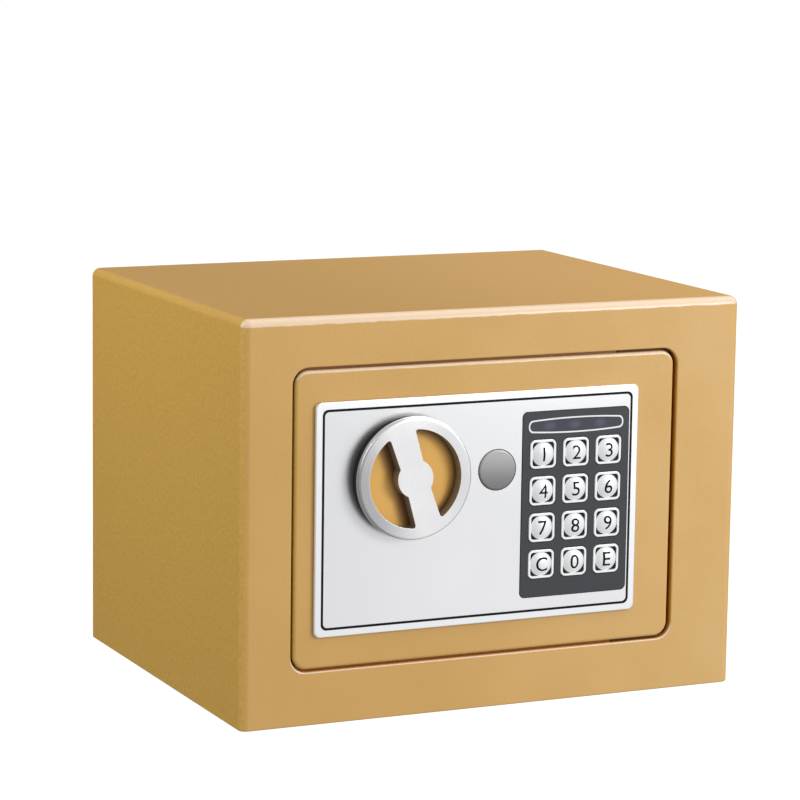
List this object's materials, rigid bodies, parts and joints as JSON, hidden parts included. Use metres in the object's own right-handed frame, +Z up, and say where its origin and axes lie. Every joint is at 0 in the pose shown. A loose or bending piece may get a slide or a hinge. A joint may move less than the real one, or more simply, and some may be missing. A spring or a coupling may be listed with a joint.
{
  "type": "in room safe",
  "caption": "Small front-opening steel safe with a keypad door plate, a round turning knob, sliding bolts, a capped emergency lock and a battery-fed lock inside.",
  "frame": {"origin": "centre of the base, at the middle of the body width and depth", "axes": "+Z up, +X to the right seen from the front, the door faces -Y"},
  "size_m": [0.23, 0.1886, 0.17],
  "materials": {
    "body_paint": "gold powder coat, fine orange peel, semi-gloss",
    "insert_paint": "painted to match the body",
    "felt": "needle felt",
    "zinc_plate": "bright zinc plate",
    "bolt_chrome": "bright plated",
    "satin_plate": "satin, fine grain",
    "satin_chrome": "satin chrome plate",
    "dark_plastic": "fine matt",
    "key_silver": "silver, glossy dome",
    "smoked_lens": "smoked, glossy",
    "led_amber": "clear tinted",
    "led_green": "clear tinted",
    "led_red": "clear tinted",
    "circuit_board": "solder mask",
    "cap_grey": "metallic grey",
    "brass": "machined",
    "coil_winding": "enamelled wire under tape",
    "cell_wrap": "printed film",
    "red_plastic": "moulded",
    "lead_sleeve": "flexible sleeve"
  },
  "bodies": {
    "body": {"body_shell": "body_paint", "base_panel": "body_paint", "back_panel": "body_paint", "floor_mat": "felt", "door_stop_frame": "body_paint", "hinge_lug_top": "body_paint", "hinge_lug_bottom": "body_paint"},
    "door": {"door_plate": "body_paint", "hinge_rod": "zinc_plate", "control_plate": "satin_plate", "keypad_bezel": "dark_plastic", "keypad_board": "circuit_board", "led_window": "smoked_lens", "led_left": "led_amber", "led_middle": "led_green", "led_right": "led_red", "key_barrel": "brass", "back_cover": "body_paint", "cover_screw_1": "zinc_plate", "cover_screw_2": "zinc_plate", "cover_screw_3": "zinc_plate", "cover_screw_4": "zinc_plate", "battery_tray": "dark_plastic", "battery_1": "cell_wrap", "battery_2": "cell_wrap", "battery_3": "cell_wrap", "battery_4": "cell_wrap", "solenoid_frame": "zinc_plate", "solenoid_coil": "coil_winding", "guide_stud_left": "zinc_plate", "guide_stud_right": "zinc_plate", "reset_switch": "dark_plastic", "battery_lead": "lead_sleeve", "solenoid_lead": "lead_sleeve", "plunger_spring": "zinc_plate"},
    "knob": {"knob": "satin_chrome", "knob_insert": "insert_paint", "knob_spindle": "zinc_plate", "spindle_cam": "zinc_plate"},
    "boltwork": {"bolt_carrier": "zinc_plate", "bolt_upper": "bolt_chrome", "bolt_lower": "bolt_chrome"},
    "plunger": {"solenoid_plunger": "brass"},
    "key_plug": {"key_plug": "brass", "key_tongue": "zinc_plate"},
    "key_cover_cap": {"key_cover_cap": "cap_grey"},
    "battery_lid": {"battery_lid": "dark_plastic"},
    "reset_button": {"reset_button": "red_plastic"},
    "key_1": {"key_1": "key_silver"},
    "key_2": {"key_2": "key_silver"},
    "key_3": {"key_3": "key_silver"},
    "key_4": {"key_4": "key_silver"},
    "key_5": {"key_5": "key_silver"},
    "key_6": {"key_6": "key_silver"},
    "key_7": {"key_7": "key_silver"},
    "key_8": {"key_8": "key_silver"},
    "key_9": {"key_9": "key_silver"},
    "key_c": {"key_c": "key_silver"},
    "key_0": {"key_0": "key_silver"},
    "key_e": {"key_e": "key_silver"}
  },
  "joints": [
    {"name": "door_hinge", "type": "hinge", "parent": "body", "child": "door", "pos_m": [0.0742, -0.0842, 0.08585], "axis": [0, 0, 1], "range_deg": [0, 105]},
    {"name": "knob_turn", "type": "hinge", "parent": "door", "child": "knob", "pos_m": [-0.0417, -0.09, 0.102], "axis": [0, -1, 0], "range_deg": [0, 60]},
    {"name": "bolt_throw", "type": "slide", "parent": "door", "child": "boltwork", "axis": [-1, 0, 0], "range_m": [0, 0.014]},
    {"name": "plunger_lift", "type": "slide", "parent": "door", "child": "plunger", "axis": [0, 0, 1], "range_m": [0, 0.005], "deforming": ["plunger_spring"]},
    {"name": "key_turn", "type": "hinge", "parent": "door", "child": "key_plug", "pos_m": [-0.001, -0.09, 0.102], "axis": [0, -1, 0], "range_deg": [0, 90]},
    {"name": "key_cap_pull", "type": "slide", "parent": "door", "child": "key_cover_cap", "axis": [0, -1, 0], "range_m": [0, 0.008]},
    {"name": "battery_lid_slide", "type": "slide", "parent": "door", "child": "battery_lid", "axis": [-1, 0, 0], "range_m": [0, 0.058]},
    {"name": "reset_press", "type": "slide", "parent": "door", "child": "reset_button", "axis": [0, -1, 0], "range_m": [0, 0.0015], "stiffness_N_per_m": 300},
    {"name": "key_1_press", "type": "slide", "parent": "door", "child": "key_1", "axis": [0, 1, 0], "range_m": [0, 0.0006], "stiffness_N_per_m": 250},
    {"name": "key_2_press", "type": "slide", "parent": "door", "child": "key_2", "axis": [0, 1, 0], "range_m": [0, 0.0006], "stiffness_N_per_m": 250},
    {"name": "key_3_press", "type": "slide", "parent": "door", "child": "key_3", "axis": [0, 1, 0], "range_m": [0, 0.0006], "stiffness_N_per_m": 250},
    {"name": "key_4_press", "type": "slide", "parent": "door", "child": "key_4", "axis": [0, 1, 0], "range_m": [0, 0.0006], "stiffness_N_per_m": 250},
    {"name": "key_5_press", "type": "slide", "parent": "door", "child": "key_5", "axis": [0, 1, 0], "range_m": [0, 0.0006], "stiffness_N_per_m": 250},
    {"name": "key_6_press", "type": "slide", "parent": "door", "child": "key_6", "axis": [0, 1, 0], "range_m": [0, 0.0006], "stiffness_N_per_m": 250},
    {"name": "key_7_press", "type": "slide", "parent": "door", "child": "key_7", "axis": [0, 1, 0], "range_m": [0, 0.0006], "stiffness_N_per_m": 250},
    {"name": "key_8_press", "type": "slide", "parent": "door", "child": "key_8", "axis": [0, 1, 0], "range_m": [0, 0.0006], "stiffness_N_per_m": 250},
    {"name": "key_9_press", "type": "slide", "parent": "door", "child": "key_9", "axis": [0, 1, 0], "range_m": [0, 0.0006], "stiffness_N_per_m": 250},
    {"name": "key_c_press", "type": "slide", "parent": "door", "child": "key_c", "axis": [0, 1, 0], "range_m": [0, 0.0006], "stiffness_N_per_m": 250},
    {"name": "key_0_press", "type": "slide", "parent": "door", "child": "key_0", "axis": [0, 1, 0], "range_m": [0, 0.0006], "stiffness_N_per_m": 250},
    {"name": "key_e_press", "type": "slide", "parent": "door", "child": "key_e", "axis": [0, 1, 0], "range_m": [0, 0.0006], "stiffness_N_per_m": 250}
  ],
  "couplings": [
    {"joint": "bolt_throw", "follows": "knob_turn", "m_per_rad": 0.01336}
  ]
}
